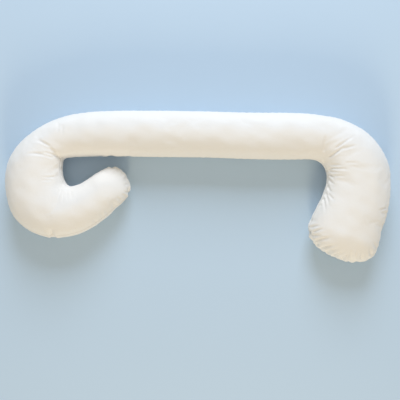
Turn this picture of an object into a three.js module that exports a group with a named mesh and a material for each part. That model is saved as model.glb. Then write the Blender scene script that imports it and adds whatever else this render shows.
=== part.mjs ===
// A full-length hooked body pillow of white cotton, lying flat on its back.
//
// It is one filled bag: two equal panels, an upper and a lower one, sewn together all round. A
// straight run joins a curled hook at one end to a broad turned-in lobe at the other.
// Millimetres. +X runs along the straight run towards the lobe, +Y from the open side of the
// hooks to the straight run, and +Z is up. The origin is on the floor, under the middle of the
// pillow's bounding box.

import * as THREE from "three";

// Pattern of the pillow, seen from above. Each row is one cross-section: the point on its inner
// edge, the point on its outer edge, its thickness, and how far (in degrees) the bag has rolled
// over, which lifts the inner seam and lowers the outer one.
const SECTIONS = [
  // the tip of the hook and its arm
  { inner: [-337, 110], outer: [-248, -7], height: 120, roll: 0 },
  { inner: [-374, 74], outer: [-284, -48], height: 140, roll: 0 },
  { inner: [-405, 52], outer: [-325, -85], height: 152, roll: 0 },
  { inner: [-437, 29], outer: [-371, -127], height: 162, roll: 0 },
  { inner: [-464, 12], outer: [-420, -162], height: 170, roll: 0 },
  // round the hook
  { inner: [-487, 4], outer: [-476, -189], height: 175, roll: 0 },
  { inner: [-506, 2], outer: [-539, -201], height: 178, roll: 0 },
  { inner: [-521, 10], outer: [-608, -197], height: 178, roll: 0 },
  { inner: [-531, 25], outer: [-675, -169], height: 178, roll: 0 },
  { inner: [-536, 44], outer: [-730, -115], height: 178, roll: 0 },
  { inner: [-539, 62], outer: [-756, -39], height: 178, roll: 0 },
  { inner: [-540, 78], outer: [-762, 35], height: 177, roll: 0 },
  { inner: [-538, 93], outer: [-749, 102], height: 174, roll: 0 },
  { inner: [-535, 107], outer: [-716, 160], height: 168, roll: 2 },
  { inner: [-525, 115], outer: [-662, 212], height: 160, roll: 5 },
  { inner: [-507, 117], outer: [-595, 254], height: 154, roll: 9 },
  { inner: [-480, 119], outer: [-523, 281], height: 154, roll: 13 },
  // the straight run
  { inner: [-436, 121], outer: [-448, 294], height: 158, roll: 17 },
  { inner: [-348, 122], outer: [-352, 300], height: 164, roll: 20 },
  { inner: [-169, 119], outer: [-169, 301], height: 168, roll: 22 },
  { inner: [30, 117], outer: [34, 298], height: 168, roll: 22 },
  { inner: [229, 110], outer: [232, 293], height: 168, roll: 20 },
  { inner: [368, 109], outer: [372, 292], height: 168, roll: 16 },
  { inner: [419, 110], outer: [431, 289], height: 166, roll: 13 },
  // round into the lobe
  { inner: [453, 109], outer: [491, 283], height: 164, roll: 9 },
  { inner: [475, 103], outer: [552, 272], height: 164, roll: 6 },
  { inner: [491, 93], outer: [607, 251], height: 166, roll: 3 },
  { inner: [502, 81], outer: [658, 223], height: 170, roll: 0 },
  { inner: [509, 66], outer: [702, 182], height: 174, roll: 0 },
  { inner: [513, 48], outer: [736, 131], height: 178, roll: 0 },
  { inner: [513, 29], outer: [757, 77], height: 178, roll: 0 },
  { inner: [510, 8], outer: [762, 14], height: 178, roll: 0 },
  // the lobe and its broad end
  { inner: [502, -16], outer: [760, -47], height: 178, roll: 0 },
  { inner: [489, -47], outer: [749, -109], height: 178, roll: 0 },
  { inner: [472, -81], outer: [732, -160], height: 177, roll: 0 },
  { inner: [448, -135], outer: [719, -217], height: 175, roll: 0 },
  { inner: [441, -188], outer: [705, -268], height: 170, roll: 0 },
  { inner: [440, -250], outer: [690, -331], height: 162, roll: 0 },
];

// The first and last rows of the straight run.
const RUN_ROWS = [18, 22];

// How each end closes. Within reach of the end the outline follows a superellipse of that power,
// and the crown falls to the seam within slope. The seam gathers the end into puckers: so many
// in a whole turn about the middle of the end, each drawn in by gather.
const HOOK_END = { reach: 86, power: 2.5, slope: 120, puckers: 9, gather: 3.5 };
const LOBE_END = { reach: 84, power: 2.2, slope: 115, puckers: 12, gather: 4.5 };

// The main folds of the upper panel, each a soft trough from one point to another.
const FOLDS = [
  // across the inside of the hook's bend
  { from: [-538, 108], to: [-636, 212], depth: 9, halfWidth: 15 },
  { from: [-545, 100], to: [-660, 136], depth: 4.5, halfWidth: 11 },
  // across the inside of the lobe's bend
  { from: [522, 110], to: [610, 196], depth: 8, halfWidth: 13 },
  { from: [516, 66], to: [610, 66], depth: 4.5, halfWidth: 11 },
  { from: [508, 24], to: [560, -36], depth: 4, halfWidth: 10 },
];

// A fold starts before its first point, by this share of its length, and tapers away over the
// last share of it.
const FOLD_RUN_UP = 0.25;
const FOLD_TAPER = 0.6;
const FOLD_PULL = 3; // power of the distance from the middle with which a fold draws the seam in

// The puckers of an end reach this angle (in radians) on either side of its tip, fade over the
// last part of it, are unevenly spaced by a slow wave, and flatten out up the crown.
const PUCKER_ARC = 1.9;
const PUCKER_FADE = 0.5;
const PUCKER_SWAY = { swing: 0.09, waves: 3, phase: 1 };
const PUCKER_FALL = 1.6;

const SEAM_LEVEL = 0.45; // height of the widest line of a section, as a share of its thickness
const END_SEAM_LEVEL = 0.36; // the same at the two ends, which sag towards the floor
const FLOOR_PRESS = 1.16; // over 1: how far the bag's weight flattens it onto the floor
const FLOOR_ROUND = 0.9; // power of the curve from the seam down to the floor
const CORNER_FADE = 2.5; // how far in from an end its curved cross-sections straighten, in corners
const BEND_STEP = 12.5; // distance between cross-sections round the bends and at the ends
const RUN_STEP = 32; // and along the straight run
const STEP_BLEND = 80; // length over which one spacing passes into the other
const ACROSS_STEPS = 18; // steps from one seam to the other over each panel

const WHITE_COTTON = new THREE.MeshStandardMaterial({
  name: "white_cotton",
  color: 0xf4f1ea,
  roughness: 0.9,
  metalness: 0,
});

const clamp01 = (x) => Math.min(1, Math.max(0, x));
const smoothstep = (x) => clamp01(x) ** 2 * (3 - 2 * clamp01(x));

// Distance along the pillow's middle line to each row of the table.
const middles = SECTIONS.map(({ inner, outer }) => [
  (inner[0] + outer[0]) / 2,
  (inner[1] + outer[1]) / 2,
]);
const stations = [0];
for (let i = 1; i < middles.length; i += 1) {
  const step = Math.hypot(middles[i][0] - middles[i - 1][0], middles[i][1] - middles[i - 1][1]);
  stations.push(stations[i - 1] + step);
}
const LENGTH = stations[stations.length - 1];

// One column of the table at distance s: a smooth curve through the rows, whose slope at a row is
// the slope of the parabola through it and its two neighbours.
function smoothColumn(values) {
  const last = values.length - 1;
  const chord = (i) => (values[i + 1] - values[i]) / (stations[i + 1] - stations[i]);
  const slopes = values.map((_, i) => {
    if (i === 0) return chord(0);
    if (i === last) return chord(last - 1);
    const before = stations[i] - stations[i - 1];
    const after = stations[i + 1] - stations[i];
    return (chord(i - 1) * after + chord(i) * before) / (before + after);
  });
  return (s) => {
    let i = 0;
    while (i < last - 1 && s > stations[i + 1]) i += 1;
    const span = stations[i + 1] - stations[i];
    const t = clamp01((s - stations[i]) / span);
    const rise = values[i] * (1 + 2 * t) * (1 - t) ** 2 + values[i + 1] * t ** 2 * (3 - 2 * t);
    return rise + span * (slopes[i] * t * (1 - t) ** 2 - slopes[i + 1] * t ** 2 * (1 - t));
  };
}

const column = {
  innerX: smoothColumn(SECTIONS.map((row) => row.inner[0])),
  innerY: smoothColumn(SECTIONS.map((row) => row.inner[1])),
  outerX: smoothColumn(SECTIONS.map((row) => row.outer[0])),
  outerY: smoothColumn(SECTIONS.map((row) => row.outer[1])),
  height: smoothColumn(SECTIONS.map((row) => row.height)),
  roll: smoothColumn(SECTIONS.map((row) => row.roll)),
};

// Share of the full width that is left at a distance from an end, and of the full crown.
const closing = (end, distance) =>
  (1 - (1 - clamp01(distance / end.reach)) ** end.power) ** (1 / end.power);
const crowning = (end, distance) => Math.sqrt(1 - (1 - clamp01(distance / end.slope)) ** 2);

// Distance from the end at which its outline has a given share of the full width.
const inset = (end, share) =>
  end.reach * (1 - (1 - Math.min(1, Math.abs(share)) ** end.power) ** (1 / end.power));

// The corner where an end's outline turns from the side into the end.
const cornerShare = (end) => 0.5 ** (1 / end.power);

// A station line is straight across the pillow, but curves into the outline near each end.
function stationLine(middle, share) {
  const lag = (end, distance) => {
    const corner = inset(end, cornerShare(end));
    const fade = 1 - smoothstep(distance / (CORNER_FADE * corner));
    return { atSide: corner * fade, here: inset(end, cornerShare(end) * share) * fade };
  };
  const start = lag(HOOK_END, middle);
  const finish = lag(LOBE_END, LENGTH - middle);
  const side = middle + start.atSide - finish.atSide;
  const sideShare = closing(HOOK_END, side) * closing(LOBE_END, LENGTH - side);
  return { s: middle + start.here - finish.here, across: sideShare * share };
}

// The point of the pillow's plan at distance s, with across running from -1, inner, to 1, outer.
function planPoint(s, across) {
  const inner = (1 - across) / 2;
  const outer = (1 + across) / 2;
  return [
    column.innerX(s) * inner + column.outerX(s) * outer,
    column.innerY(s) * inner + column.outerY(s) * outer,
  ];
}

// Depth of the folds at a point of the plan: a rounded trough along each fold's line, which
// tapers away at the fold's far end.
function foldDepth([x, y]) {
  return FOLDS.reduce((sum, { from, to, depth, halfWidth }) => {
    const along = [to[0] - from[0], to[1] - from[1]];
    const length = Math.hypot(...along);
    const t = ((x - from[0]) * along[0] + (y - from[1]) * along[1]) / length ** 2;
    const off = ((x - from[0]) * along[1] - (y - from[1]) * along[0]) / length;
    const taper = smoothstep(1 + t / FOLD_RUN_UP) * smoothstep((1 - t) / FOLD_TAPER);
    return sum + depth * taper * Math.exp(-((off / halfWidth) ** 2));
  }, 0);
}

// Depth of the puckers at a point of the plan: spokes about the middle of the end, deepest at the
// seam, where fullness is 0, and gone on the crown, where it is 1.
function puckerDepth(end, endStation, inward, point, fullness) {
  const hub = planPoint(endStation + inward * end.reach, 0);
  const tip = planPoint(endStation, 0);
  const axis = Math.atan2(tip[1] - hub[1], tip[0] - hub[0]);
  let angle = Math.atan2(point[1] - hub[1], point[0] - hub[0]) - axis;
  angle = Math.atan2(Math.sin(angle), Math.cos(angle));
  const near = smoothstep(2 - Math.hypot(point[0] - hub[0], point[1] - hub[1]) / (2 * end.reach));
  const round = smoothstep((PUCKER_ARC - Math.abs(angle)) / PUCKER_FADE) * near;
  const sway = PUCKER_SWAY.swing * Math.sin(PUCKER_SWAY.waves * angle + PUCKER_SWAY.phase);
  const spoke = 0.5 + 0.5 * Math.cos((angle + sway) * end.puckers);
  return end.gather * round * spoke ** 2 * (1 - fullness) ** PUCKER_FALL;
}

// A point of one panel. share runs from -1 at the inner seam to 1 at the outer seam, and side is
// 1 for the upper panel and -1 for the lower one.
function panelPoint(middle, share, side) {
  const roll = THREE.MathUtils.degToRad(column.roll(middle)) * side;
  const angle = (Math.PI / 2) * share + roll;
  const { s, across } = stationLine(middle, Math.sin(angle));
  const fullWidth = closing(HOOK_END, s) * closing(LOBE_END, LENGTH - s);
  const fromMiddle = fullWidth > 0 ? Math.min(1, Math.abs(across) / fullWidth) : 1;
  const rise = side * Math.sign(Math.cos(angle)) * Math.sqrt(1 - fromMiddle ** 2);

  const height = column.height(s);
  const crown = crowning(HOOK_END, s) * crowning(LOBE_END, LENGTH - s);
  const level = height * (END_SEAM_LEVEL + (SEAM_LEVEL - END_SEAM_LEVEL) * crown);
  const plan = planPoint(s, across);

  const fullness = Math.abs(rise) * crown;
  const folds = rise > 0 ? foldDepth(plan) * crown : 0;
  const puckers =
    puckerDepth(HOOK_END, 0, 1, plan, fullness) +
    puckerDepth(LOBE_END, LENGTH, -1, plan, fullness);
  const halfWidth = Math.hypot(
    column.outerX(s) - column.innerX(s),
    column.outerY(s) - column.innerY(s),
  ) / 2;
  const shrink = 1 - (folds * Math.abs(across) ** FOLD_PULL + puckers) / halfWidth;
  const hub = planPoint(s, 0);
  const x = hub[0] + (plan[0] - hub[0]) * shrink;
  const y = hub[1] + (plan[1] - hub[1]) * shrink;

  const up = (height - level) * crown * rise - folds * rise;
  const down = level * Math.min(1, FLOOR_PRESS * Math.abs(rise) ** FLOOR_ROUND) * crown;
  const z = rise >= 0 ? level + up : level - down;
  return new THREE.Vector3(x, y, Math.max(0, z));
}

// Distances of the cross-sections: close together except along the straight run.
function crossSectionStations() {
  const [runStart, runEnd] = RUN_ROWS.map((row) => stations[row]);
  const step = (s) => {
    const pastStart = smoothstep((s - runStart) / STEP_BLEND + 0.5);
    const beforeEnd = smoothstep((runEnd - s) / STEP_BLEND + 0.5);
    const inRun = pastStart * beforeEnd;
    return BEND_STEP + (RUN_STEP - BEND_STEP) * inRun;
  };
  const list = [0];
  while (list[list.length - 1] < LENGTH) {
    const s = list[list.length - 1];
    list.push(s + step(s));
  }
  return list.map((s) => (s * LENGTH) / list[list.length - 1]);
}

// The closed skin: a grid of points for each panel, joined along the seam they share.
function pillowGeometry() {
  const rows = crossSectionStations();
  const positions = [];
  const indices = [];
  const add = (point) => {
    positions.push(point.x, point.y, point.z);
    return positions.length / 3 - 1;
  };
  const grid = (side, seam) =>
    rows.map((s, k) =>
      Array.from({ length: ACROSS_STEPS + 1 }, (_, j) => {
        const onSeam = j === 0 || j === ACROSS_STEPS || k === 0 || k === rows.length - 1;
        if (onSeam && seam) return seam[k][j];
        return add(panelPoint(s, (2 * j) / ACROSS_STEPS - 1, side));
      }),
    );
  const upper = grid(1, null);
  const lower = grid(-1, upper);
  const cover = (points, upwards) => {
    for (let k = 0; k < rows.length - 1; k += 1) {
      for (let j = 0; j < ACROSS_STEPS; j += 1) {
        const [a, b] = [points[k][j], points[k + 1][j]];
        const [c, d] = [points[k + 1][j + 1], points[k][j + 1]];
        indices.push(...(upwards ? [a, b, c, a, c, d] : [a, c, b, a, d, c]));
      }
    }
  };
  cover(upper, true);
  cover(lower, false);
  const geometry = new THREE.BufferGeometry();
  geometry.setAttribute("position", new THREE.Float32BufferAttribute(positions, 3));
  geometry.setIndex(indices);
  geometry.computeVertexNormals();
  return geometry;
}

const pillow = new THREE.Mesh(pillowGeometry(), WHITE_COTTON);
pillow.name = "pillow";

const part = new THREE.Group();
part.name = "body_pillow";
part.add(pillow);

export default part;
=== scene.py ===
# %% [markdown]
# # A hooked full-length body pillow in white cotton
#
# The real thing is one long bag. Two equal cotton panels lie face to face, are sewn together all
# round, turned right side out and filled with fibre. Seen from above it has a straight run with
# a curled hook at one end and a broad turned-in lobe at the other. This lesson sews such a bag
# as one ring of points, fills it with Blender's cloth pressure, and then works the creases, the
# gathers and the seam into the filled shape.

import bpy
import numpy as np
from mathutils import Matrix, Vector


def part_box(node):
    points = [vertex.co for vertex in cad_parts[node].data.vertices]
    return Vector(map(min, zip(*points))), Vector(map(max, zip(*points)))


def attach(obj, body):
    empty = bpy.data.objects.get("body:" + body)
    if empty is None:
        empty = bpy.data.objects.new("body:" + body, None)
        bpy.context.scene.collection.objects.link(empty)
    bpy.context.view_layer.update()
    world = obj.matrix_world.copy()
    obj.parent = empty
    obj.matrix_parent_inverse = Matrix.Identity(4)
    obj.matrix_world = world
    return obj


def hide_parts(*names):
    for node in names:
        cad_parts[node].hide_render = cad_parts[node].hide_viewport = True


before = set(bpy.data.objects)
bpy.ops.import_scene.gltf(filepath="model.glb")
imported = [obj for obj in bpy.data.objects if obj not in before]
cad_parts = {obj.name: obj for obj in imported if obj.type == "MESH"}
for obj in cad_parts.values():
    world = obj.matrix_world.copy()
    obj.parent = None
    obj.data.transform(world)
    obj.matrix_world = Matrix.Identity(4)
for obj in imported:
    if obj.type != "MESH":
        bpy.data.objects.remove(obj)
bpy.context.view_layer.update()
floor_corner, top_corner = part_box("pillow")
print("pillow solid, metres:", [round(top - low, 3) for low, top in zip(floor_corner, top_corner)])

# %% [markdown]
# ## The camera
#
# The photograph was taken from straight above. A long lens at three metres gives the same
# nearly parallel view of the two ends. The frame is square, so the lens follows from how many
# metres one pixel spans at the height of the seam.

# %% Camera
CAMERA_HEIGHT = 3.0
CAMERA_AIM = (0.0085, -0.053)
FRAME_PIXELS = 400
METRES_PER_PIXEL = 0.003978
SEAM_HEIGHT = 0.075
SENSOR_WIDTH = 36.0

camera_data = bpy.data.cameras.new("camera")
camera_data.sensor_width = SENSOR_WIDTH
view_width = FRAME_PIXELS * METRES_PER_PIXEL
camera_data.lens = SENSOR_WIDTH * (CAMERA_HEIGHT - SEAM_HEIGHT) / view_width
camera = bpy.data.objects.new("camera", camera_data)
camera.location = (*CAMERA_AIM, CAMERA_HEIGHT)
bpy.context.scene.collection.objects.link(camera)
bpy.context.scene.camera = camera
print("lens, millimetres:", round(camera_data.lens, 1))

# %% [markdown]
# ## The pattern
#
# A long soft thing is easiest to describe by its cross-sections. Each row below gives the point
# on the inner edge, the point on the outer edge and the thickness, in millimetres. The last two
# columns say how many degrees each seam has lifted above the widest line of the section: a bag
# that settles on a floor pushes its seams up, and the straight run has rolled over a little too.

# %% The table of cross-sections, from the tip of the hook to the end of the lobe
MM = 0.001
COLUMNS = ("inner_x", "inner_y", "outer_x", "outer_y", "height", "inner_lift", "outer_lift")
SECTIONS = np.array([
    (-337, 110, -248, -7, 120, 0, 0),
    (-374, 74, -284, -48, 140, 2, 8),
    (-405, 52, -325, -85, 152, 6, 16),
    (-437, 29, -371, -127, 162, 9, 20),
    (-464, 12, -420, -162, 170, 12, 22),
    (-487, 4, -476, -189, 175, 14, 22),
    (-506, 2, -539, -201, 178, 15, 22),
    (-521, 10, -608, -197, 178, 16, 21),
    (-531, 25, -675, -169, 178, 16, 19),
    (-536, 44, -730, -115, 178, 16, 16),
    (-539, 62, -756, -39, 178, 16, 13),
    (-540, 78, -762, 35, 177, 16, 10),
    (-538, 93, -749, 102, 174, 16, 7),
    (-535, 107, -716, 160, 168, 16, 5),
    (-525, 115, -662, 212, 160, 17, 4),
    (-507, 117, -595, 254, 154, 18, 2),
    (-480, 119, -523, 281, 154, 14, 0),
    (-436, 121, -448, 294, 158, 11, -2),
    (-348, 122, -352, 300, 164, 8, -4),
    (-169, 119, -169, 301, 168, 7, -5),
    (30, 117, 34, 298, 168, 7, -5),
    (229, 110, 232, 293, 168, 7, -4),
    (368, 109, 372, 292, 168, 8, -2),
    (419, 110, 431, 289, 166, 10, 0),
    (453, 109, 491, 283, 164, 12, 2),
    (475, 103, 552, 272, 164, 13, 4),
    (491, 93, 607, 251, 166, 12, 6),
    (502, 81, 658, 223, 170, 11, 8),
    (509, 66, 702, 182, 174, 10, 11),
    (513, 48, 736, 131, 178, 10, 14),
    (513, 29, 757, 77, 178, 10, 17),
    (510, 8, 762, 14, 178, 10, 19),
    (502, -16, 760, -47, 178, 10, 20),
    (489, -47, 749, -109, 178, 10, 20),
    (472, -81, 732, -160, 177, 10, 19),
    (448, -135, 719, -217, 175, 8, 16),
    (441, -188, 705, -268, 170, 4, 8),
    (440, -250, 690, -331, 162, 0, 0),
], float)
SECTIONS[:, :5] *= MM
SECTIONS[:, 5:] = np.radians(SECTIONS[:, 5:])
column = dict(zip(COLUMNS, SECTIONS.T))

middle_x = (column["inner_x"] + column["outer_x"]) / 2
middle_y = (column["inner_y"] + column["outer_y"]) / 2
STATIONS = np.concatenate([[0], np.cumsum(np.hypot(np.diff(middle_x), np.diff(middle_y)))])
LENGTH = STATIONS[-1]
print("middle line, metres:", round(float(LENGTH), 3))


# %% A smooth curve through one column of the table
def along(name, s):
    """One column of the table at distance s: cubic Hermite pieces through the rows, where the
    slope at a row is that of the parabola through it and its two neighbours."""
    values = column[name]
    step = np.diff(STATIONS)
    chord = np.diff(values) / step
    slope = np.concatenate([chord[:1], np.zeros(len(chord) - 1), chord[-1:]])
    slope[1:-1] = (chord[:-1] * step[1:] + chord[1:] * step[:-1]) / (step[:-1] + step[1:])
    i = np.clip(np.searchsorted(STATIONS, s) - 1, 0, len(step) - 1)
    t = np.clip((s - STATIONS[i]) / step[i], 0, 1)
    level = values[i] * (1 + 2 * t) * (1 - t) ** 2 + values[i + 1] * t**2 * (3 - 2 * t)
    return level + step[i] * (slope[i] * t * (1 - t) ** 2 - slope[i + 1] * t**2 * (1 - t))


# %% [markdown]
# ## How the ends close
#
# Each end is cut round. Its outline is a superellipse: the width left at a distance d from the
# end is (1 - (1 - d / reach) ** power) ** (1 / power) of the full width. The crown comes down
# to the seam over a slightly longer distance, along a curve of the same kind. The grid has to
# follow that outline, so its cross lines start on the round end and straighten out further in.

# %% The two ends
HOOK_END = {"reach": 0.086, "power": 2.5, "slope": 0.12, "roundness": 1.75}
LOBE_END = {"reach": 0.084, "power": 2.2, "slope": 0.112, "roundness": 1.9}
CORNER_FADE = 2.5


def smoothstep(x):
    """Goes from 0 to 1 as x does, level at both."""
    x = np.clip(x, 0, 1)
    return x * x * (3 - 2 * x)


def closing(end, distance):
    """Share of the full width left at a distance from an end: the superellipse."""
    inner = 1 - np.clip(distance / end["reach"], 0, 1)
    return (1 - inner ** end["power"]) ** (1 / end["power"])


def crowning(end, distance):
    """Share of the full crown left at a distance from an end: a superellipse again, a little
    sharper at the seam than the quarter circle of power 2."""
    inner = 1 - np.clip(distance / end["slope"], 0, 1)
    return (1 - inner ** end["roundness"]) ** (1 / end["roundness"])


def inset(end, share):
    """Distance from the end at which its outline has a share of the full width."""
    inner = 1 - np.clip(np.abs(share), 0, 1) ** end["power"]
    return end["reach"] * (1 - inner ** (1 / end["power"]))


def corner_share(end):
    """Share of the width at which an end's outline turns from the side into the end."""
    return 0.5 ** (1 / end["power"])


def cross_line(middle, share):
    """A cross line that is at distance middle on the sides' side of the corner: it is straight
    across the pillow, but bends into the outline near each end. Gives distance and share."""
    def lag(end, distance):
        corner = inset(end, corner_share(end))
        fade = 1 - smoothstep(distance / (CORNER_FADE * corner))
        return corner * fade, inset(end, corner_share(end) * share) * fade

    start_side, start_here = lag(HOOK_END, middle)
    finish_side, finish_here = lag(LOBE_END, LENGTH - middle)
    side = middle + start_side - finish_side
    side_share = closing(HOOK_END, side) * closing(LOBE_END, LENGTH - side)
    return middle + start_here - finish_here, side_share * share


# %% [markdown]
# ## The filled section
#
# Going round a section by an angle, sine is the place across it and cosine the rise above or
# below its widest line, as on an ellipse. The lower half is pressed flat where it meets the
# floor: its depth is multiplied by a little over one and cut off at one.

# %% A point of the filled bag
SEAM_LEVEL = 0.45
END_SEAM_LEVEL = 0.36
FLOOR_PRESS = 1.16
FLOOR_ROUND = 0.9


def bag_point(middle, angle):
    """Points of the bag at distance middle and section angle, 0 on the crown and a half turn
    underneath: sine across the section, cosine above or below its widest line."""
    s, across = cross_line(middle, np.sin(angle))
    width_left = closing(HOOK_END, s) * closing(LOBE_END, LENGTH - s)
    from_middle = np.clip(np.abs(across) / np.maximum(width_left, 1e-9), 0, 1)
    rise = np.sign(np.cos(angle)) * np.sqrt(1 - from_middle**2)

    height = along("height", s)
    crown = crowning(HOOK_END, s) * crowning(LOBE_END, LENGTH - s)
    level = height * (END_SEAM_LEVEL + (SEAM_LEVEL - END_SEAM_LEVEL) * crown)
    up = (height - level) * crown * rise
    pressed = np.minimum(1, FLOOR_PRESS * np.abs(rise) ** FLOOR_ROUND)
    z = np.where(rise >= 0, level + up, level - level * pressed * crown)

    inner, outer = (1 - across) / 2, (1 + across) / 2
    x = along("inner_x", s) * inner + along("outer_x", s) * outer
    y = along("inner_y", s) * inner + along("outer_y", s) * outer
    return np.stack([x, y, np.maximum(z, 0)], axis=-1)


# %% [markdown]
# ## One ring of points
#
# The bag is kept as one grid. A row goes once round the section: from the inner seam over the
# crown to the outer seam, and back underneath. Each seam is thus one column, and both panels
# share it. In the first and last row the cloth turns over the closed end, so there a place on
# the upper panel and its mirror place on the lower one are the same point. Rows stand close
# together round the bends and at the ends, where the cloth creases, and the places in a row
# crowd towards the seams for the same reason.

# %% Rows and places
BEND_STEP = 0.0068
RUN_STEP = 0.016
END_RISE = 0.1
ROW_SAMPLES = 20001
STEP_BLEND = 0.15
RUN_ROWS = (17, 23)
PANEL_STEPS = 44
SEAM_CROWDING = 0.24


def row_distances():
    """Distances of the rows, as a column. The rows wanted in each metre are one over the step,
    times the way over the crown, which rises steeply from the seam at both ends. Their
    running sum is read backwards at whole numbers."""
    fine = np.linspace(0, LENGTH, ROW_SAMPLES)
    run_start, run_end = STATIONS[list(RUN_ROWS)]
    past_start = smoothstep((fine[1:] - run_start) / STEP_BLEND + 0.5)
    before_end = smoothstep((run_end - fine[1:]) / STEP_BLEND + 0.5)
    step = BEND_STEP + (RUN_STEP - BEND_STEP) * past_start * before_end
    crown = END_RISE * crowning(HOOK_END, fine) * crowning(LOBE_END, LENGTH - fine)
    wanted = np.cumsum(np.hypot(np.diff(fine), np.diff(crown)) / step)
    count = round(wanted[-1])
    return np.interp(np.linspace(0, wanted[-1], count + 1), [0, *wanted], fine)[:, None]


def section_angles(rows):
    """Section angles of a row: from the inner seam over the crown to the outer seam in
    PANEL_STEPS steps, then as many back underneath, a full turn further on."""
    spread = np.linspace(-1, 1, PANEL_STEPS + 1)
    share = (spread * (1 + SEAM_CROWDING * (1 - spread**2)) + 1) / 2
    inner_seam = along("inner_lift", rows) - np.pi / 2
    outer_seam = np.pi / 2 - along("outer_lift", rows)
    over = inner_seam + (outer_seam - inner_seam) * share
    under = inner_seam + (outer_seam - 2 * np.pi - inner_seam) * share[-2:0:-1]
    return np.concatenate([over, under], axis=1)


def mirrored(ring):
    """The same rows with the two panels' places exchanged: place c becomes place -c."""
    return np.roll(ring[:, ::-1], 1, axis=1)


rows = row_distances()
bag = bag_point(rows, section_angles(rows))
print("rows:", bag.shape[0], "places in a row:", bag.shape[1])
print("highest point, metres:", round(float(bag[..., 2].max()), 4))


# %% Past the seams
def past_the_seams(ring, count):
    """The ring with more places past its first and last one, and more rows past each end,
    where the cloth goes on as the other panel."""
    other = mirrored(ring)
    longer = np.concatenate([other[count:0:-1], ring, other[-2:-2 - count:-1]])
    return np.concatenate([longer[:, -count:], longer, longer[:, :count]], axis=1)


def between(grid, axis):
    """Put a new point between each two along one axis, on the cubic through its four
    neighbours, and drop the two spare points at either end."""
    grid = np.moveaxis(grid, axis, 0)
    halves = (9 * (grid[1:-2] + grid[2:-1]) - grid[:-3] - grid[3:]) / 16
    fine = np.empty((2 * len(halves) - 3, *grid.shape[1:]))
    fine[0::2] = grid[2:-2]
    fine[1::2] = halves[1:-1]
    return np.moveaxis(fine, 0, axis)


def halve(ring):
    """The ring with twice as many steps both ways."""
    return between(between(past_the_seams(ring, 3), 0), 1)[2:-2, 2:-1]


def evened(ring, passes):
    """The slow part of what a ring holds: each pass replaces a value by a quarter of its two
    neighbours and half of itself, first along the rows and then along the places."""
    for _ in range(passes):
        wide = past_the_seams(ring, 1)
        wide = (wide[:-2] + 2 * wide[1:-1] + wide[2:]) / 4
        ring = (wide[:, :-2] + 2 * wide[:, 1:-1] + wide[:, 2:]) / 4
    return ring


def outward(ring):
    """Unit normals: the cross product of the steps along the rows and along the places."""
    wide = past_the_seams(ring, 1)
    normal = np.cross(wide[2:, 1:-1] - wide[:-2, 1:-1], wide[1:-1, 2:] - wide[1:-1, :-2])
    return normal / np.maximum(np.linalg.norm(normal, axis=-1, keepdims=True), 1e-12)


# %% From the ring to a mesh
def corners(grid):
    """The four corner values of each face, in an order that makes the face look outwards."""
    four = (grid[:-1, :-1], grid[1:, :-1], grid[1:, 1:], grid[:-1, 1:])
    return np.stack(four, axis=2)


def closed(grid):
    """The grid with its first place once more after the last one."""
    return np.concatenate([grid, grid[:, :1]], axis=1)


def point_numbers(ring):
    """Which point of the ring each mesh point is, and the mesh point at each place."""
    places = np.arange(ring[..., 0].size).reshape(ring.shape[:2])
    places[[0, -1]] = np.minimum(places, mirrored(places))[[0, -1]]
    used, numbers = np.unique(places, return_inverse=True)
    return used, numbers.reshape(places.shape)


def sewn_mesh(name, ring):
    """A closed, smooth-shaded mesh of the ring."""
    used, numbers = point_numbers(ring)
    points = ring.reshape(-1, 3)[used]
    faces = corners(closed(numbers)).reshape(-1, 4)
    mesh = bpy.data.meshes.new(name)
    mesh.vertices.add(len(points))
    mesh.vertices.foreach_set("co", points.astype(np.float32).ravel())
    mesh.loops.add(faces.size)
    mesh.loops.foreach_set("vertex_index", faces.astype(np.int32).ravel())
    mesh.polygons.add(len(faces))
    mesh.polygons.foreach_set("loop_start", np.arange(0, faces.size, 4, dtype=np.int32))
    mesh.polygons.foreach_set("use_smooth", np.ones(len(faces), bool))
    mesh.update(calc_edges=True)
    return mesh


# %% [markdown]
# ## How far from the seam
#
# Gathers and puckers start at the seam and die away from it, on both panels alike. So each
# point has to know how far it lies from the nearest stretch of seam, measured over the cloth,
# and how strongly the cloth is gathered there. The gathers follow the photograph: they are
# strong at the end of the lobe, middling at the tip of the hook and inside the two bends, and
# slight everywhere else.

# %% Distances over the cloth
def girth_places(ring):
    """Distance round the section of each place, from the inner seam, closing column included."""
    step = np.linalg.norm(np.diff(closed(ring), axis=1), axis=-1)
    return np.concatenate([np.zeros((len(ring), 1)), np.cumsum(step, axis=1)], axis=1)


def from_the_seam(ring):
    """Distance over the cloth to the nearest seam: the least of the ways round the section to
    the inner and the outer seam and of the ways along the rows to the two ends."""
    girth = girth_places(ring)
    place, half = girth[:, :-1], ring.shape[1] // 2
    round_way = np.minimum(place, girth[:, -1:] - place)
    round_way = np.minimum(round_way, np.abs(place - place[:, half:half + 1]))
    step = np.linalg.norm(np.diff(ring, axis=0), axis=-1)
    end_way = np.concatenate([np.zeros((1, ring.shape[1])), np.cumsum(step, axis=0)])
    return np.minimum(round_way, np.minimum(end_way, end_way[-1] - end_way))


# %% Where the seam is gathered
GATHER_COLUMNS = ("x", "y", "reach", "strength", "shrink")
GATHERS = np.array([
    (-285, 45, 105, 0.45, 0.7),
    (-330, -75, 70, 0.45, 0.7),
    (-430, -165, 90, 0.2, 0.4),
    (-570, -195, 90, 0.2, 0.3),
    (-515, 60, 80, 0.4, 0.3),
    (512, 65, 85, 0.35, 0.6),
    (505, -30, 70, 0.3, 0.5),
    (448, -185, 60, 0.7, 0.6),
    (500, -255, 90, 1.3, 0.9),
    (600, -310, 100, 1.4, 0.9),
    (700, -280, 60, 0.7, 0.5),
    (745, -90, 50, 0.45, 0.2),
])
GATHERED_EVERYWHERE = 0.15


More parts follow.
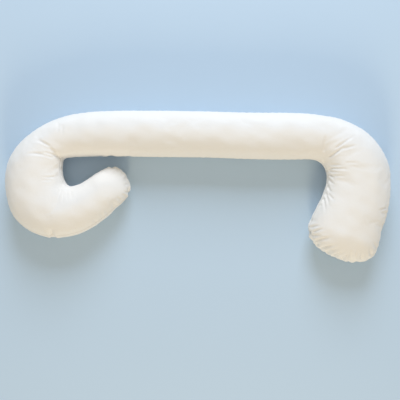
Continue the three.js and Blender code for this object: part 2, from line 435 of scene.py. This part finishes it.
def gathering(points, kind):
    """Strength or shrink at points: the strongest of the bell curves round the spots."""
    spot = dict(zip(GATHER_COLUMNS, GATHERS.T))
    across, up = points[..., :1] - spot["x"] * MM, points[..., 1:2] - spot["y"] * MM
    bells = spot[kind] * np.exp(-(across**2 + up**2) / (spot["reach"] * MM) ** 2)
    return np.maximum(bells.max(axis=-1), GATHERED_EVERYWHERE)


seam_way = from_the_seam(bag)
print("half the girth at most, metres:", round(float(2 * seam_way.max()), 3))

# %% [markdown]
# ## Filling the bag
#
# Sewing two panels together draws the cloth in along the seam, and the filling pushes it out
# again between the gathers. Blender's cloth does just that. The bag is blown up by pressure,
# without gravity, while the cloth near the gathered seam shrinks. Such a run also moves the
# whole bag a few centimetres, so only the quick part of the movement is kept: the movement
# less its own running mean. The large shape stays where the frame has it, and the wrinkles
# are real ones. The patch that lies on the floor is held.

# %% The filling
FILL_FRAMES = 20
FILL_PRESSURE = 4
FILL_QUALITY = 5
CLOTH_MASS = 0.3
CLOTH_STIFFNESS = 15
CLOTH_SHEAR = 5
CLOTH_BENDING = 0.2
DAMPING = 5
FLOOR_CONTACT = 0.0005
SEAM_SHRINK = 0.12
SHRINK_REACH = 0.03
WEIGHT_LEVELS = 16
WRINKLE_PASSES = 30
WRINKLE_CAP = 0.010
WRINKLE_SHARE = 0.25


def weigh(obj, name, weights):
    """A vertex group of these weights, rounded to WEIGHT_LEVELS even levels."""
    group = obj.vertex_groups.new(name=name)
    level = np.round(np.clip(weights, 0, 1) * WEIGHT_LEVELS).astype(int)
    for value in range(1, WEIGHT_LEVELS + 1):
        group.add(np.flatnonzero(level == value).tolist(), value / WEIGHT_LEVELS, "REPLACE")


def filled(ring, shrink):
    """The ring's points after Blender's cloth has blown the bag up and shrunk its seams."""
    sewn = bpy.data.objects.new("bag", sewn_mesh("bag", ring))
    bpy.context.scene.collection.objects.link(sewn)
    used, numbers = point_numbers(ring)
    weigh(sewn, "held", ring.reshape(-1, 3)[used, 2] < FLOOR_CONTACT)
    weigh(sewn, "shrunk", shrink.ravel()[used])
    modifier = sewn.modifiers.new("filling", "CLOTH")
    cloth = modifier.settings
    cloth.quality = FILL_QUALITY
    cloth.mass = CLOTH_MASS
    cloth.tension_stiffness = cloth.compression_stiffness = CLOTH_STIFFNESS
    cloth.shear_stiffness = CLOTH_SHEAR
    cloth.bending_stiffness = CLOTH_BENDING
    cloth.tension_damping = cloth.compression_damping = cloth.shear_damping = DAMPING
    cloth.use_pressure = True
    cloth.uniform_pressure_force = FILL_PRESSURE
    cloth.vertex_group_mass = "held"
    cloth.vertex_group_shrink = "shrunk"
    cloth.shrink_max = SEAM_SHRINK
    cloth.effector_weights.gravity = 0
    modifier.collision_settings.use_collision = False
    modifier.point_cache.frame_start = 1
    modifier.point_cache.frame_end = FILL_FRAMES
    for frame_number in range(1, FILL_FRAMES + 1):
        bpy.context.scene.frame_set(frame_number)
    settled = sewn.evaluated_get(bpy.context.evaluated_depsgraph_get()).data
    points = np.zeros(len(settled.vertices) * 3, np.float32)
    settled.vertices.foreach_get("co", points)
    bpy.data.objects.remove(sewn)
    return points.reshape(-1, 3)[numbers].astype(float)


def wrinkles(ring, settled):
    """The quick part of the movement, capped: the movement less its evened form."""
    movement = settled - ring
    quick = movement - evened(movement, WRINKLE_PASSES)
    size = np.linalg.norm(quick, axis=-1, keepdims=True)
    return WRINKLE_SHARE * quick * np.minimum(1, WRINKLE_CAP / np.maximum(size, WRINKLE_CAP))


shrink = gathering(bag, "shrink") * (1 - smoothstep(seam_way / SHRINK_REACH))
bag_wrinkles = wrinkles(bag, filled(bag, shrink))
print("largest wrinkle, millimetres:", round(float(np.abs(bag_wrinkles).max() / MM), 1))
bag = bag + bag_wrinkles
cloth_ring = halve(bag)
print("fine ring:", cloth_ring.shape)

# %% [markdown]
# ## Listed creases
#
# The photograph shows creases that radiate from the inner corner of each bend, a few short
# ones across the lobe's inner edge and some at both closed ends. Each is one row: where it starts
# and ends, as seen by the camera at the height of the seam, how far it bows to its left, its
# depth and half its width. The cloth dips in a bell-shaped trough and rises a little on either
# side of it. Only cloth that faces up gets these.

# %% The table of creases, in millimetres
CREASE_COLUMNS = ("from_x", "from_y", "to_x", "to_y", "bow", "depth", "half_width")
CREASES = np.array([
    (-528, 100, -651, 203, 3, 3.2, 13),
    (-540, 112, -600, 168, 3, 2.8, 5.5),
    (-586, 160, -646, 197, 2, 2.4, 4.5),
    (-598, 168, -660, 186, -3, 1.9, 4.5),
    (-540, 108, -586, 128, -2, 3.0, 5.0),
    (-562, 122, -630, 137, -3, 2.8, 4.5),
    (-570, 113, -668, 133, -4, 2.2, 4.5),
    (-610, 130, -702, 129, -2, 1.6, 5.0),
    (-568, 39, -626, 37, 1, 2.4, 4.5),
    (-580, 27, -630, 26, 0, 1.8, 4.0),
    (-550, -12, -560, -56, 1, 1.8, 4.5),
    (-535, -14, -541, -66, 1, 2.0, 4.5),
    (-520, -14, -523, -58, 0, 1.8, 4.5),
    (-505, -16, -503, -52, -1, 1.6, 4.5),
    (-555, 259, -557, 214, 0, 1.6, 5.0),
    (-539, 247, -541, 198, 0, 1.6, 5.0),
    (516, 112, 612, 186, 0, 2.0, 13),
    (546, 150, 628, 204, 2, 3.6, 4.5),
    (518, 115, 592, 168, -2, 4.4, 4.5),
    (574, 149, 642, 167, 1, 3.0, 4.5),
    (518, 72, 614, 68, 2, 3.0, 5.0),
    (518, 60, 568, 56, 1, 2.2, 4.5),
    (524, 86, 588, 80, 2, 2.6, 4.5),
    (520, 49, 546, 30, 1, 2.2, 4.5),
    (542, 44, 594, 40, 1, 1.8, 4.5),
    (584, 95, 654, 93, 1, 1.8, 4.5),
    (514, 40, 545, 5, -1, 3.0, 4.5),
    (511, 20, 531, -28, -1, 2.8, 4.5),
    (518, -28, 545, -56, -1, 2.4, 4.5),
    (508, -22, 524, -84, 0, 2.4, 4.5),
    (499, -40, 510, -116, 0, 2.2, 4.5),
    (501, 136, 513, 218, 2, 3.2, 5.5),
    (752, -84, 716, -97, 1, 3.2, 4.5),
    (750, -98, 722, -106, 1, 2.4, 4.5),
    (445, -161, 492, -156, 1, 3.0, 4.5),
    (454, -183, 508, -166, 2, 3.6, 4.5),
    (464, -216, 536, -203, 2, 5.0, 5.5),
    (480, -247, 552, -231, 2, 5.6, 5.0),
    (463, -192, 502, -201, 1, 2.4, 4.5),
    (502, -264, 568, -244, 2, 5.4, 4.5),
    (530, -279, 594, -252, 2, 5.6, 4.5),
    (566, -291, 610, -262, 1, 5.0, 4.5),
    (601, -296, 615, -246, -2, 4.6, 4.5),
    (627, -297, 638, -250, 1, 4.6, 4.5),
    (650, -290, 654, -262, 1, 3.2, 4.5),
    (692, -279, 685, -243, 2, 3.2, 5.0),
    (712, -246, 698, -218, 1, 2.0, 5.0),
    (-328, 79, -315, 60, 1, 2.6, 4.5),
    (-297, 54, -307, 38, 1, 2.4, 4.5),
    (-276, 10, -297, 8, 1, 2.0, 4.5),
    (-277, -27, -298, -14, 1, 2.2, 4.5),
    (-286, -38, -306, -31, -1, 2.0, 4.5),
    (-300, -58, -326, -40, 1, 2.2, 5.0),
    (-318, -77, -342, -60, 1, 2.2, 5.0),
    (-379, -117, -389, -99, 1, 2.0, 5.5),
    (-405, -144, -415, -126, 0, 2.0, 5.5),
], float) * MM
RIDGE_SHARE = 0.32
RIDGE_PLACE = 1.9
CREASE_START = 0.12
CREASE_END = 0.5
FACING_UP = 0.35


# %% Working the creases in
def trough(offset):
    """Depth across a crease: a bell at offset 0, less a smaller bell on either side of it."""
    beside = np.exp(-((offset - RIDGE_PLACE) ** 2)) + np.exp(-((offset + RIDGE_PLACE) ** 2))
    return np.exp(-(offset**2)) - RIDGE_SHARE * beside


def as_seen(points):
    """Plan places as the camera sees them, brought to the height of the seam."""
    enlarged = (CAMERA_HEIGHT - SEAM_HEIGHT) / (CAMERA_HEIGHT - points[..., 2:])
    return CAMERA_AIM + (points[..., :2] - CAMERA_AIM) * enlarged


def crease_depth(points, crease):
    """Depth of one crease: with t the way along it from 0 to 1, its line bows out by
    4 t (1 - t) times its bow, and it fades in fast at its start and slowly to its end."""
    start = np.array([crease["from_x"], crease["from_y"]])
    line = np.array([crease["to_x"], crease["to_y"]]) - start
    length = np.hypot(*line)
    t = (points - start) @ line / length**2
    sideways = (points - start) @ np.array([-line[1], line[0]]) / length
    offset = (sideways - 4 * t * (1 - t) * crease["bow"]) / crease["half_width"]
    fade = smoothstep(t / CREASE_START) * smoothstep((1 - t) / CREASE_END)
    return crease["depth"] * fade * trough(offset)


normals = outward(cloth_ring)
seen = as_seen(cloth_ring)
crease_rows = [dict(zip(CREASE_COLUMNS, row)) for row in CREASES]
depth = sum(crease_depth(seen, row) for row in crease_rows)
depth = depth * smoothstep(normals[..., 2] / FACING_UP)
print("creases:", len(crease_rows), "deepest point, millimetres:", round(float(depth.max() / MM), 1))

# %% [markdown]
# ## Puckers along the seam
#
# Where the seam is gathered, the cloth runs into it in short valleys with small cushions
# between them, and each valley pulls the edge in a little, so the outline is faintly
# scalloped. The valleys stand along the whole seam at uneven distances, drawn from a seeded
# random generator, and their depth follows the strength of the gathers. The notches and bumps
# that stand out in the photograph are listed in a table of their own.

# %% Where the puckers are
PUCKER_SEED = 7
PUCKER_SPACING = (0.018, 0.036)
PUCKER_DEPTH = 0.0066
PUCKER_LENGTH = (0.035, 0.065)
PUCKER_LEAST = 0.4
PUCKER_WIDTH = (0.0050, 0.0080)
PUCKER_SLANT = 0.35
PUCKER_EDGE = (0.0, 0.4)
PUCKER_PEAK = 0.4
PUCKER_FAINTEST = 0.35
PUCKER_START_WIDTH = 0.7
NOTCH_COLUMNS = ("x", "y", "depth", "half_width", "length")
NOTCHES = np.array([
    (-340, 74, 5.0, 9, 34),
    (-291, 48, -2.0, 14, 26),
    (-272, 3, -2.0, 14, 26),
    (-280, -22, 4.5, 8, 32),
    (-581, -196, 8.0, 8, 60),
    (441, -158, -5.8, 13, 28),
    (448, -178, 4.4, 7, 26),
    (445, -201, -4.2, 13, 26),
    (634, -300, 4.0, 9, 34),
], float) * MM


def seam_loop(ring):
    """The seam's points once round: the inner seam, the lobe's end, the outer seam back, and
    the hook's end."""
    half = ring.shape[1] // 2
    return np.concatenate([ring[:-1, 0], ring[-1, :half], ring[:0:-1, half], ring[0, half:0:-1]])


loop = seam_loop(cloth_ring)
loop_step = np.linalg.norm(np.roll(loop, -1, axis=0) - loop, axis=1)
loop_way = np.concatenate([[0], np.cumsum(loop_step)[:-1]])
loop_tangent = np.roll(loop, -1, axis=0) - np.roll(loop, 1, axis=0)
loop_tangent /= np.linalg.norm(loop_tangent, axis=1, keepdims=True)
print("seam, metres:", round(float(loop_step.sum()), 3))


def random_puckers():
    """Rows of seam point, depth, half width, length, slant and share at the edge, at uneven
    distances along the seam."""
    draw = np.random.default_rng(PUCKER_SEED)
    count = int(loop_step.sum() / np.mean(PUCKER_SPACING))
    way = np.cumsum(draw.uniform(*PUCKER_SPACING, count)) % loop_step.sum()
    at = np.searchsorted(loop_way, way) % len(loop)
    strength = gathering(loop[at], "strength")
    deep = PUCKER_DEPTH * draw.uniform(PUCKER_FAINTEST, 1, count) * strength
    length = draw.uniform(*PUCKER_LENGTH, count) * (PUCKER_LEAST + strength)
    slant = draw.uniform(-PUCKER_SLANT, PUCKER_SLANT, count)
    return np.stack([
        at, deep, draw.uniform(*PUCKER_WIDTH, count), length, slant,
        draw.uniform(*PUCKER_EDGE, count),
    ], axis=1)


def notch_puckers():
    """Rows of the same kind for the notches, each at the seam point nearest to its place: they
    stand square to the seam and are as deep at the edge as further in."""
    notch = dict(zip(NOTCH_COLUMNS, NOTCHES.T))
    places = np.stack([notch["x"], notch["y"]], axis=1)
    at = np.linalg.norm(as_seen(loop)[:, None] - places, axis=-1).argmin(axis=0)
    square, full = np.zeros(len(at)), np.ones(len(at))
    return np.stack([at, notch["depth"], notch["half_width"], notch["length"], square, full], axis=1)


puckers = np.concatenate([random_puckers(), notch_puckers()])
print("puckers:", len(puckers))


# %% Working the puckers in
def pucker_depth(points, seam_way, pucker):
    """Depth of one pucker: a trough that starts at its seam point with its edge share of the
    depth, is deepest at PUCKER_PEAK of its length, and has faded at its length. It widens on
    the way, and reaches no further than twice its length to either side."""
    at, deep, half_width, length, slant, edge = pucker
    from_start = points - loop[int(at)]
    offset = from_start @ loop_tangent[int(at)] - slant * seam_way
    inwards = np.clip(seam_way / length, 0, 1)
    near = np.linalg.norm(from_start, axis=-1) < 2 * length
    width = half_width * (PUCKER_START_WIDTH + inwards)
    grow = edge + (1 - edge) * smoothstep(inwards / PUCKER_PEAK)
    fade = 1 - smoothstep((inwards - PUCKER_PEAK) / (1 - PUCKER_PEAK))
    return near * deep * grow * fade * trough(offset / width)


seam_way = from_the_seam(cloth_ring)
depth = depth + sum(pucker_depth(cloth_ring, seam_way, pucker) for pucker in puckers)

# %% [markdown]
# ## The seam and the filling's unevenness
#
# The seam itself is a narrow groove. Inside the bag the two seam allowances lie beside it and
# push up a low ridge, with a faint trough behind it. The filling is never quite even either:
# a few long waves of a millimetre or so in each direction keep the long run from looking
# turned on a lathe.

# %% Seam relief and slow waves
SEAM_GROOVE = (0.0022, 0.0, 0.0032)
ALLOWANCE_RIDGE = (-0.0012, 0.0085, 0.0040)
ALLOWANCE_TROUGH = (0.0011, 0.0165, 0.0050)
WAVE_SEED = 3
WAVE_COUNT = 24
WAVE_LENGTH = (0.05, 0.16)
WAVE_FADE = 0.09
WAVE_DEPTH = 0.00035
FLOOR_FADE = 0.004


def band(seam_way, profile):
    """A bell of a given depth at a distance from the seam, with a half width."""
    height, place, half_width = profile
    return height * np.exp(-(((seam_way - place) / half_width) ** 2))


def slow_waves(points):
    """The sum of WAVE_COUNT sine waves through space, each in its own seeded direction."""
    draw = np.random.default_rng(WAVE_SEED)
    direction = draw.normal(size=(WAVE_COUNT, 3))
    direction /= np.linalg.norm(direction, axis=1, keepdims=True)
    turns = points @ (direction / draw.uniform(*WAVE_LENGTH, (WAVE_COUNT, 1))).T
    return WAVE_DEPTH * np.sin(2 * np.pi * (turns + draw.uniform(0, 1, WAVE_COUNT))).sum(axis=-1)


gathered = gathering(cloth_ring, "strength")
depth = depth + band(seam_way, SEAM_GROOVE) + band(seam_way, ALLOWANCE_RIDGE)
depth = depth + gathered * band(seam_way, ALLOWANCE_TROUGH)
depth = depth + slow_waves(cloth_ring) * smoothstep(seam_way / WAVE_FADE)

on_floor = 1 - smoothstep(cloth_ring[..., 2:] / FLOOR_FADE)
finished = cloth_ring - depth[..., None] * normals * (1 - on_floor)
finished[..., 2] = np.maximum(finished[..., 2], 0)
print("relief, millimetres:", round(float(depth.min() / MM), 1), round(float(depth.max() / MM), 1))

# %% [markdown]
# ## The pillow
#
# The pillow is one mesh of the finished ring. Its UV map is called "cut" and holds metres on
# the flat panel: the place on the crown, moved across the pillow by the distance over the
# cloth. The threads of a cut panel run straight, so the weave follows this map. An attribute
# marks the band along the seam where the material paints shade into the colour, for the
# seam's groove, with some grime.

# %% The flat panels
def panel_cut(ring, first, last):
    """Flat places of one panel's points: its middle point in plan, moved sideways by the way
    over the cloth from there."""
    girth = girth_places(ring)[:, first:last + 1]
    around = closed(ring)[:, first:last + 1, :2]
    middle = (last - first) // 2
    sideways = around[:, -1:] - around[:, :1]
    sideways = sideways / np.maximum(np.linalg.norm(sideways, axis=-1, keepdims=True), 1e-6)
    return around[:, middle:middle + 1] + sideways * (girth - girth[:, middle:middle + 1])[..., None]


half = finished.shape[1] // 2
cuts = [panel_cut(finished, 0, half), panel_cut(finished, half, 2 * half)]
cut_map = np.concatenate([corners(cut) for cut in cuts], axis=1)
print("cut panel, metres:", [round(float(size), 3) for size in np.ptp(cuts[0].reshape(-1, 2), axis=0)])

# %% The object
SEAM_SHADE_REACH = 0.004

pillow_mesh = sewn_mesh("body_pillow", finished)
pillow_mesh.uv_layers.new(name="cut").data.foreach_set("uv", cut_map.astype(np.float32).ravel())
# The seam attribute weighs the painted shade: 1 at the seam, gone a few millimetres off it.
seam_shade_mark = pillow_mesh.attributes.new("seam", "FLOAT", "POINT")
seam_shade_weight = np.exp(-((seam_way / SEAM_SHADE_REACH) ** 2)).ravel()[point_numbers(finished)[0]]
seam_shade_mark.data.foreach_set("value", seam_shade_weight.astype(np.float32))
pillow = bpy.data.objects.new("body_pillow", pillow_mesh)
bpy.context.scene.collection.objects.link(pillow)
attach(pillow, "root")
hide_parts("pillow")
print("pillow triangles:", 2 * len(pillow_mesh.polygons))


# %% [markdown]
# ## Shader sums
#
# A material is easiest to read when its maths is written as sums. The class below wraps the
# output of a node, so that adding or multiplying two of them adds the Math node that does it.

# %% Sums of sockets
class Socket:
    """The output of a node, for use in sums."""

    def __init__(self, paint, output):
        self.paint = paint
        self.output = output

    def __add__(self, other):
        return self.paint.maths("ADD", self, other)

    def __mul__(self, other):
        return self.paint.maths("MULTIPLY", self, other)

    __radd__ = __add__
    __rmul__ = __mul__


class Paint:
    """A material that is being made from nodes."""

    def __init__(self, name):
        self.material = bpy.data.materials.new(name)
        self.material.use_nodes = True
        self.tree = self.material.node_tree
        self.surface = self.tree.nodes["Principled BSDF"]

    def feed(self, socket, value):
        """Link a socket or set its value."""
        if isinstance(value, Socket):
            self.tree.links.new(value.output, socket)
        else:
            socket.default_value = value

    def node(self, kind, settings, values, output=0):
        """A new node: its settings first, then the values or links of its sockets."""
        made = self.tree.nodes.new(kind)
        for name, setting in settings.items():
            setattr(made, name, setting)
        for name, value in values.items():
            self.feed(made.inputs[name], value)
        return Socket(self, made.outputs[output])

    def maths(self, operation, first, second):
        """A Math node of one operation on two values or sockets."""
        return self.node("ShaderNodeMath", {"operation": operation}, {0: first, 1: second})

    def finish(self, **values):
        """Set or link the surface shader's own sockets."""
        for name, value in values.items():
            self.feed(self.surface.inputs[name.replace("_", " ")], value)
        return self.material


# %% [markdown]
# ## White cotton
#
# The cover is a plain-woven cotton in a warm white. Seen close, two sets of threads cross at
# right angles, two to the millimetre. Pressed cotton also keeps small soft dents, a couple of
# centimetres across, and a fuzzy surface that catches light at a low angle. The colour is
# nearly even: it is a little creamier in broad patches, and along the seam it is darkened by
# painted shade for the seam's groove, with some grime.

# %% Cotton
THREAD = 0.0005
WAVE_PERIOD = np.pi / 10
WARM_WHITE = (0.88, 0.865, 0.84, 1)
CREAM = (0.86, 0.835, 0.79, 1)
# SEAM_SHADE is painted shade for the seam's groove, with some grime in it.
SEAM_SHADE = (0.70, 0.68, 0.65, 1)
DENTS_PER_METRE = 38
PATCHES_PER_METRE = 7
DENT_DETAIL = 3.0
PATCH_DETAIL = 2.0
NOISE_ROUGHNESS = 0.5
SEAM_SHADE_SHARE = 0.6
DENT_DEPTH = 0.0012
WEAVE_DEPTH = 0.00006
WEAVE_STRENGTH = 0.35
COTTON_ROUGHNESS = 0.88
COTTON_SHEEN = 0.25
SHEEN_ROUGHNESS = 0.6


def cotton():
    """The cover's material: a patchy warm white with painted shade along the seam, dented and woven.
    """
    paint = Paint("white_cotton")
    flat = paint.node("ShaderNodeUVMap", {"uv_map": "cut"}, {})
    place = paint.node("ShaderNodeTexCoord", {}, {}, "Object")
    seam = paint.node("ShaderNodeAttribute", {"attribute_name": "seam"}, {}, "Fac")

    def threads(direction):
        """One set of threads: a sine wave, one thread wide, along one direction of the cut. The
        wave texture repeats after WAVE_PERIOD at a scale of 1."""
        return paint.node("ShaderNodeTexWave", {"bands_direction": direction}, {
            "Vector": flat, "Scale": WAVE_PERIOD / THREAD, "Distortion": 0.0,
        }, "Fac")

    def soft_noise(scale, detail):
        """Noise through space, from 0 to 1."""
        return paint.node("ShaderNodeTexNoise", {}, {
            "Vector": place, "Scale": scale, "Detail": detail, "Roughness": NOISE_ROUGHNESS,
        }, "Fac")

    patches = soft_noise(PATCHES_PER_METRE, PATCH_DETAIL)
    dents = soft_noise(DENTS_PER_METRE, DENT_DETAIL)
    weave = threads("X") + threads("Y")
    mixed = paint.node("ShaderNodeMix", {"data_type": "RGBA"}, {
        "Factor": patches, "A": WARM_WHITE, "B": CREAM}, "Result")
    # Painted shade: the colour darkens towards SEAM_SHADE along the seam, for its groove's shade and
    # some grime.
    colour = paint.node("ShaderNodeMix", {"data_type": "RGBA"}, {
        "Factor": seam * SEAM_SHADE_SHARE, "A": mixed, "B": SEAM_SHADE}, "Result")
    dented = paint.node("ShaderNodeBump", {}, {
        "Strength": 1.0, "Distance": DENT_DEPTH, "Height": dents})
    woven = paint.node("ShaderNodeBump", {}, {
        "Strength": WEAVE_STRENGTH, "Distance": WEAVE_DEPTH, "Height": weave, "Normal": dented})
    return paint.finish(
        Base_Color=colour, Normal=woven, Roughness=COTTON_ROUGHNESS,
        Sheen_Weight=COTTON_SHEEN, Sheen_Roughness=SHEEN_ROUGHNESS)


pillow_mesh.materials.append(cotton())

# %% [markdown]
# ## Floor and light
#
# A pale, plain floor stands in for the photograph's backdrop. The light is that of a room with
# one large window: cool and broad from behind the run, with a warm, weaker bounce from the
# other side, and a faintly warm room all round.

# %% Floor
FLOOR_HALF = 6.0
FLOOR_BLUE = (0.52, 0.66, 0.80, 1)
FLOOR_ROUGHNESS = 0.9

floor_corners = [(-FLOOR_HALF, -FLOOR_HALF), (FLOOR_HALF, -FLOOR_HALF),
                 (FLOOR_HALF, FLOOR_HALF), (-FLOOR_HALF, FLOOR_HALF)]
floor_mesh = bpy.data.meshes.new("floor")
floor_mesh.from_pydata([(x, y, 0) for x, y in floor_corners], [], [(0, 1, 2, 3)])
floor_mesh.materials.append(Paint("floor").finish(Base_Color=FLOOR_BLUE, Roughness=FLOOR_ROUGHNESS))
floor = bpy.data.objects.new("floor", floor_mesh)
bpy.context.scene.collection.objects.link(floor)

# %% Lights
LIGHT_AIM = (0.05, -0.05, 0.05)
WINDOW = {"place": (0.3, 4.6, 3.0), "width": 2.8, "watts": 236, "tint": (0.80, 0.88, 1.0)}
BOUNCE = {"place": (0.1, -4.2, 2.0), "width": 1.0, "watts": 81, "tint": (1.0, 0.83, 0.57)}
ROOM_TINT = (1.0, 0.965, 0.89, 1)
ROOM_STRENGTH = 0.49


def soft_light(name, light):
    """A square light that shines from its place towards the pillow's middle."""
    lamp = bpy.data.lights.new(name, "AREA")
    lamp.shape = "SQUARE"
    lamp.size = light["width"]
    lamp.energy = light["watts"]
    lamp.color = light["tint"]
    holder = bpy.data.objects.new(name, lamp)
    holder.location = light["place"]
    towards = Vector(LIGHT_AIM) - Vector(light["place"])
    holder.rotation_euler = towards.to_track_quat("-Z", "Y").to_euler()
    bpy.context.scene.collection.objects.link(holder)
    print(name, "light, metres away:", round(towards.length, 2))


soft_light("window", WINDOW)
soft_light("bounce", BOUNCE)
room = bpy.data.worlds.new("room")
room.use_nodes = True
room_light = room.node_tree.nodes["Background"].inputs
room_light["Color"].default_value = ROOM_TINT
room_light["Strength"].default_value = ROOM_STRENGTH
bpy.context.scene.world = room
bpy.context.scene.view_settings.view_transform = "Standard"
